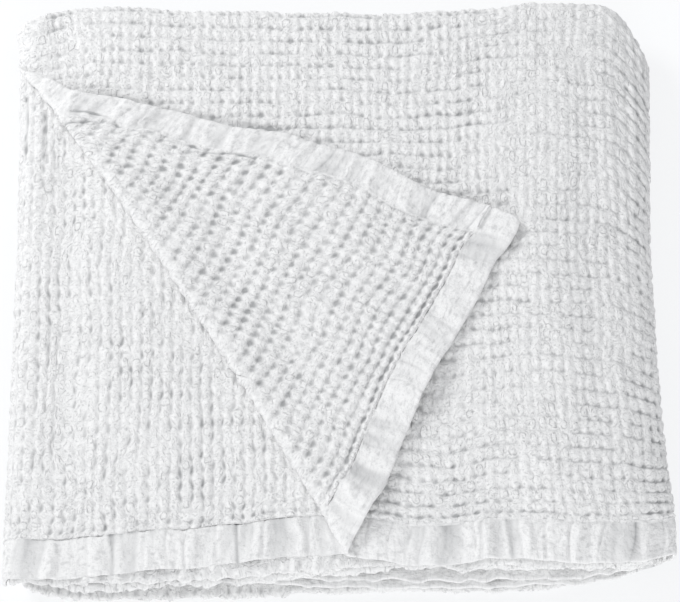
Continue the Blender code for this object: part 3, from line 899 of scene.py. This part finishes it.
COTTON = (0.86, 0.86, 0.858, 1.0)
# the cotton's colour where shade is painted: in hollows, creases, stitching, yarn gaps and small grooves
COTTON_IN_PAINTED_SHADE = (0.42, 0.425, 0.43, 1.0)
# grains of the cotton, for its bump and for shade painted on them: size across the cloth, size along it,
# detail
WARP = (0.001, 0.0036, 1.0)
WEFT = (0.0034, 0.0011, 1.0)
LUMPS = (0.003, 0.0028, 2.0)
WISPS = (0.0046, 0.0052, 1.0)
HEM_SHADE_GRAINS = (0.0048, 0.004, 3.0)
HEM_GRAIN = (0.0075, 0.006, 3.0)
# how deep the shade painted on each mark is
YARN_GAP_SHADE = 0.24
DENT_SHADE = 0.6
HEM_MARK_SHADE = 0.38
WISP_SHADE = 0.28
OUTLINE_SHADE = 0.56
# how high each mark stands in the bump
YARN_BUMP = 0.5
OUTLINE_BUMP = 0.5
WISP_BUMP = 0.6
HEM_BUMP = 3.2
BUMP_DISTANCE = 0.0007


class Tree:
    """Adds shader nodes to a material or world. Inputs are numbers, tuples or other nodes' outputs."""

    def __init__(self, owner):
        owner.use_nodes = True
        self.nodes = owner.node_tree.nodes
        self.link = owner.node_tree.links.new

    def fill(self, node, values):
        for key, value in values.items():
            if isinstance(value, (float, tuple)):
                node.inputs[key].default_value = value
            else:
                self.link(value, node.inputs[key])

    def new(self, kind, values):
        node = self.nodes.new("ShaderNode" + kind)
        self.fill(node, values)
        return node

    def math(self, operation, first, second=0.0):
        node = self.new("Math", {0: first, 1: second})
        node.operation = operation
        return node.outputs["Value"]

    def times(self, first, second):
        return self.math("MULTIPLY", first, second)

    def larger(self, first, second):
        return self.math("MAXIMUM", first, second)

    def ranged(self, value, low, high, out_low=0.0, out_high=1.0):
        values = {"Value": value, "From Min": low, "From Max": high, "To Min": out_low, "To Max": out_high}
        return self.new("MapRange", values).outputs["Result"]

    def vector(self, operation, *values):
        node = self.new("VectorMath", dict(enumerate(values)))
        node.operation = operation
        return node.outputs["Vector"]

    def apart(self, vector):
        return self.new("SeparateXYZ", {"Vector": vector}).outputs

    def places(self, layer):
        node = self.new("UVMap", {})
        node.uv_map = layer
        return node.outputs["UV"]

    def stored(self, name):
        node = self.new("Attribute", {})
        node.attribute_name = name
        return node.outputs["Fac"]

    def noise(self, places, scale, detail=2.0):
        return self.new("TexNoise", {"Scale": scale, "Detail": detail, "Vector": places}).outputs

    def grains(self, places, across, along, detail):
        """Noise whose grains are across by along metres on the cloth."""
        scaled = self.vector("MULTIPLY", places, (1.0 / across, 1.0 / along, 1.0))
        return self.noise(scaled, 1.0, detail)["Fac"]


def cell_outlines(tree):
    """Thin rounded outlines round some of the waffle's cells, from 0 to 1, where shade is painted."""
    weave = tree.places("Weave")
    stray = tree.noise(weave, 1.6)["Color"]
    stray = tree.vector("MULTIPLY_ADD", stray, (0.45, 0.45, 0.0), (-0.225, -0.225, 0.0))
    place = tree.apart(tree.vector("ADD", weave, stray))
    powers = []
    for axis, reach in (("X", 0.4), ("Y", 0.42)):
        offset = tree.math("SUBTRACT", tree.math("FRACT", place[axis]), 0.5)
        offset = tree.math("ABSOLUTE", tree.math("DIVIDE", offset, reach))
        powers.append(tree.math("POWER", offset, 3.0))
    far = tree.math("POWER", tree.math("ADD", *powers), 0.333)
    line = tree.ranged(tree.math("ABSOLUTE", tree.math("SUBTRACT", far, 0.72)), 0.18, 0.03)
    chance = tree.new("TexWhiteNoise", {"Vector": tree.vector("FLOOR", weave)})
    chance.noise_dimensions = "3D"
    region = tree.noise(weave, 0.22)["Fac"]
    some = tree.ranged(tree.math("ADD", chance.outputs["Value"], region), 0.9, 1.3)
    part = tree.ranged(tree.noise(weave, 2.3)["Fac"], 0.36, 0.58)
    return tree.times(tree.times(line, some), part)


def cotton_material():
    material = bpy.data.materials.new("white waffle cotton")
    tree = Tree(material)
    cloth = tree.places("Cloth")
    hem = tree.stored("hem")
    woven = tree.math("SUBTRACT", 1.0, hem)
    yarns = tree.larger(tree.grains(cloth, *WARP), tree.grains(cloth, *WEFT))
    lumps = tree.grains(cloth, *LUMPS)
    outline = tree.times(cell_outlines(tree), woven)
    # thin wisps, sunk in the bump and painted darker as shade
    wisps = tree.math("ABSOLUTE", tree.math("SUBTRACT", tree.grains(cloth, *WISPS), 0.5))
    wisps = tree.times(tree.times(tree.ranged(wisps, 0.06, 0.0), tree.ranged(lumps, 0.4, 0.6)), woven)
    # shade painted into the colour: in the yarns' gaps, in dents, in the hems' creases, along wisps and
    # cell outlines, and the shade stored on the mesh
    shade = tree.ranged(yarns, 0.54, 0.4, 0.0, YARN_GAP_SHADE)
    dent_shade = tree.times(tree.ranged(lumps, 0.44, 0.28, 0.0, DENT_SHADE), woven)
    hem_shade = tree.times(tree.ranged(tree.grains(cloth, *HEM_SHADE_GRAINS), 0.47, 0.33, 0.0, HEM_MARK_SHADE), hem)
    for mark in (dent_shade, hem_shade, tree.times(wisps, WISP_SHADE), tree.times(outline, OUTLINE_SHADE)):
        shade = tree.larger(shade, mark)
    shade = tree.larger(tree.ranged(tree.stored("hollow"), 0.15, 1.15), shade)
    # the painted shade mixes the cotton towards its shaded colour
    mix = tree.new("Mix", {})
    mix.data_type = "RGBA"
    tree.fill(mix, {"A": COTTON, "B": COTTON_IN_PAINTED_SHADE, "Factor": shade})
    height = tree.math("ADD", tree.times(yarns, YARN_BUMP), lumps)
    height = tree.math("SUBTRACT", height, tree.times(outline, OUTLINE_BUMP))
    height = tree.math("SUBTRACT", height, tree.times(wisps, WISP_BUMP))
    crumples = tree.times(tree.math("SUBTRACT", tree.grains(cloth, *HEM_GRAIN), 0.5), HEM_BUMP)
    height = tree.math("ADD", height, tree.times(crumples, hem))
    bump = tree.new("Bump", {"Strength": 1.0, "Distance": BUMP_DISTANCE, "Height": height})
    tree.fill(tree.nodes["Principled BSDF"], {
        "Roughness": 0.95,
        "Specular IOR Level": 0.12,
        "Sheen Weight": 0.06,
        "Sheen Roughness": 0.6,
        "Base Color": mix.outputs["Result"],
        "Normal": bump.outputs["Normal"],
    })
    return material


# ---- the pieces

# cells across at which pieces meet, and the share of the second ply at which its pieces meet
SEAM_LEFT = 21
SEAM_RIGHT = 44
UPPER_STRIP_END = 67
SECOND_FRONT_END = 34
SECOND_BACK_END = 19
LEFT_FOLD_SEAM = int((OVERHANG + (MIDDLE_END + LEFT_FOLD_END) / 2 - SIDE_HEM) / CELL_ACROSS)
SECOND_SEAM = 0.59
# grid steps across and along a cell, where the cloth shows and where it hardly does
FINE_STEPS = (8, 10)
COARSE_STEPS = (4, 6)
BACK_FOLD_STEPS = 8
# distances between rows of the grid: on hems, in folds, and where a ply is hidden
HEM_STEP = 0.001
COARSE_HEM_STEP = 0.0018
FRONT_FOLD_STEP = 0.0011
BACK_FOLD_STEP = 0.0016
HIDDEN_STEP = 0.035
NEAR_END = 0.024


def columns_of(first, last, steps):
    """Columns from one cell to another, with the side hem beyond the cloth's first or last cell."""
    columns = [SIDE_HEM + CELL_ACROSS * k / steps for k in range(first * steps, last * steps + 1)]
    hem = spaced(0.0, SIDE_HEM, HEM_STEP)[:-1]
    if first == 0:
        columns = hem + columns
    if last == CELLS_ACROSS:
        columns = columns + [CLOTH_WIDTH - place for place in reversed(hem)]
    return columns


def fine_near(panel, start=0.0):
    """Rows of a ply, close together near its ends and far apart where it is hidden."""
    reach = NEAR_END / PANEL_LENGTHS[panel]
    last = woven_rows(panel, COARSE_STEPS[1], 1.0 - reach, 1.0)
    if start > 0.0:
        return joined(rows_of(panel, HIDDEN_STEP, start, 1.0 - reach), last)
    first = woven_rows(panel, COARSE_STEPS[1], 0.0, reach)
    return joined(first, rows_of(panel, HIDDEN_STEP, reach, 1.0 - reach), last)


def top_rows():
    return joined(
        rows_of("top hem", HEM_STEP),
        woven_rows("top", FINE_STEPS[1]),
        woven_rows("outer back fold", BACK_FOLD_STEPS),
        rows_of("bottom", 0.004, 0.0, 0.03),
    )


def inside_rows(start=0.0):
    """Rows of the bottom ply from a share of it, of the third ply, and of the folds beside them."""
    return joined(
        fine_near("bottom", start),
        rows_of("front fold", FRONT_FOLD_STEP),
        fine_near("third"),
        rows_of("inner back fold", BACK_FOLD_STEP),
    )


def all_rows():
    return joined(
        rows_of("top hem", COARSE_HEM_STEP),
        fine_near("top"),
        rows_of("outer back fold", BACK_FOLD_STEP),
        inside_rows(),
        fine_near("second"),
        rows_of("second hem", COARSE_HEM_STEP),
    )


def piece_table():
    """Name, first cell, last cell, rows, steps across a cell, look."""
    fine, coarse = FINE_STEPS[0], COARSE_STEPS[0]
    top = top_rows()
    every = all_rows()
    second_front = joined(woven_rows("second", FINE_STEPS[1], SECOND_SEAM), rows_of("second hem", HEM_STEP))
    second_back = woven_rows("second", FINE_STEPS[1], 0.0, SECOND_SEAM)
    second_right = joined(
        rows_of("second", 0.02, 0.5, 0.93),
        woven_rows("second", COARSE_STEPS[1], 0.93),
        rows_of("second hem", COARSE_HEM_STEP),
    )
    return (
        ("top_left", 0, SEAM_LEFT, top, fine, "face"),
        ("top_middle", SEAM_LEFT, SEAM_RIGHT, top, fine, "face"),
        ("top_right", SEAM_RIGHT, UPPER_STRIP_END, top, fine, "face"),
        ("second_front", 0, SECOND_FRONT_END, second_front, fine, "ridged"),
        ("second_back", 0, SECOND_BACK_END, second_back, fine, "ridged"),
        ("second_right", SECOND_FRONT_END, UPPER_STRIP_END, second_right, coarse, "ridged"),
        ("upper_inside", 0, UPPER_STRIP_END, inside_rows(0.03), coarse, "plain"),
        ("middle_run", UPPER_STRIP_END, LEFT_FOLD_SEAM, every, coarse, "plain"),
        ("lower_run", LEFT_FOLD_SEAM, CELLS_ACROSS, every, coarse, "plain"),
    )


def make_blanket():
    material = cotton_material()
    for name, first, last, rows, steps, look in piece_table():
        columns = columns_of(first, last, steps)
        piece = cloth_piece(name, columns, rows, look)
        piece.data.materials.append(material)
        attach(piece, "root")
        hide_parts("blanket")
        length = length_at(*rows[-1]) - length_at(*rows[0])


# ---- studio

CAMERA_TARGET = Vector((0.0037, -0.0109, 0.03))
CAMERA_ELEVATION = radians(66.5)
CAMERA_DISTANCE = 1.9
CAMERA_ANGLE = radians(14.0)
# name, place, size, power
LIGHTS = (
    ("key", (-1.5, 1.1, 1.35), 0.9, 25.0),
    ("front", (0.3, -2.2, 0.9), 1.6, 20.0),
)
SKY = (0.97, 0.98, 1.0, 1.0)
SKY_LEFT = 0.69
SKY_RIGHT = 0.58
FLOOR = (0.25, 0.252, 0.256, 1.0)
FLOOR_GLOW = (0.985, 0.992, 1.0, 1.0)
FLOOR_GLOW_STRENGTH = 0.74


def look_at(thing, target):
    thing.rotation_euler = (target - thing.location).to_track_quat("-Z", "Y").to_euler()


def make_camera():
    data = bpy.data.cameras.new("camera")
    data.sensor_fit = "HORIZONTAL"
    data.angle = CAMERA_ANGLE
    camera = add_object("camera", data)
    away = Vector((0.0, -cos(CAMERA_ELEVATION), sin(CAMERA_ELEVATION)))
    camera.location = CAMERA_TARGET + CAMERA_DISTANCE * away
    look_at(camera, CAMERA_TARGET)
    bpy.context.scene.camera = camera


def make_light(name, place, size, power):
    data = bpy.data.lights.new(name, "AREA")
    data.shape = "DISK"
    data.size = size
    data.energy = power
    light = add_object(name, data)
    light.location = place
    look_at(light, Vector())


def make_floor():
    bpy.ops.mesh.primitive_plane_add(size=8.0, location=(0.0, 0.0, 0.0))
    floor = bpy.context.object
    floor.name = "floor"
    material = bpy.data.materials.new("pale floor")
    tree = Tree(material)
    tree.fill(tree.nodes["Principled BSDF"], {
        "Base Color": FLOOR,
        "Roughness": 1.0,
        "Specular IOR Level": 0.0,
        "Emission Color": FLOOR_GLOW,
        "Emission Strength": FLOOR_GLOW_STRENGTH,
    })
    floor.data.materials.append(material)


def make_sky():
    """An even, pale sky that is a little dimmer at the right."""
    world = bpy.data.worlds.new("studio")
    tree = Tree(world)
    direction = tree.new("TexCoord", {}).outputs["Generated"]
    strength = tree.ranged(tree.apart(direction)["X"], -0.2, 1.0, SKY_LEFT, SKY_RIGHT)
    tree.fill(tree.nodes["Background"], {"Color": SKY, "Strength": strength})
    bpy.context.scene.world = world


def main():
    make_blanket()
    make_camera()
    make_floor()
    make_sky()
    for row in LIGHTS:
        make_light(*row)
    view = bpy.context.scene.view_settings
    view.view_transform = "Standard"
    view.look = "None"


main()
